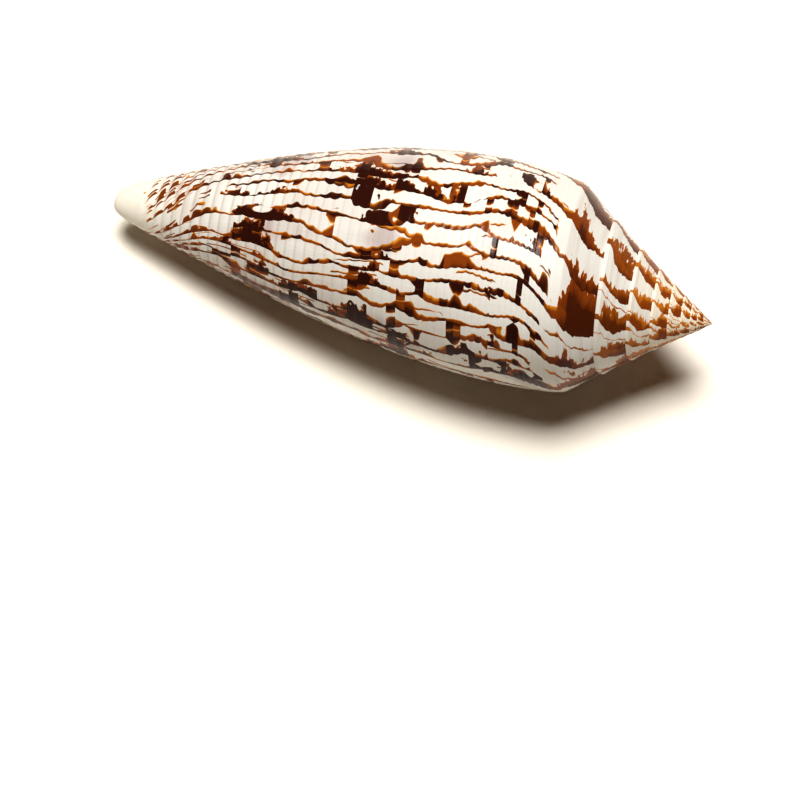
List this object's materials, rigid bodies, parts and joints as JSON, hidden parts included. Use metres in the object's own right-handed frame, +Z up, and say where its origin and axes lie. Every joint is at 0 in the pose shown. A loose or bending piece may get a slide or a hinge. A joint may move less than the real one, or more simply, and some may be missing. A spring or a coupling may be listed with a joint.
{
  "type": "cone shell",
  "caption": "Slender cone-shaped sea shell with a stepped conical spire and a long narrow mouth, lying mouth down, for display or as a prop.",
  "frame": {"origin": "on the surface it lies on, under the middle of its bounding box", "axes": "+X along the coil axis towards the apex of the spire, +Z up from the surface it lies on"},
  "size_m": [0.0712, 0.0262, 0.0239],
  "materials": {
    "shell": "polished porcelain-white shell with brown wavy markings"
  },
  "bodies": {
    "root": {"shell": "shell"}
  },
  "joints": []
}
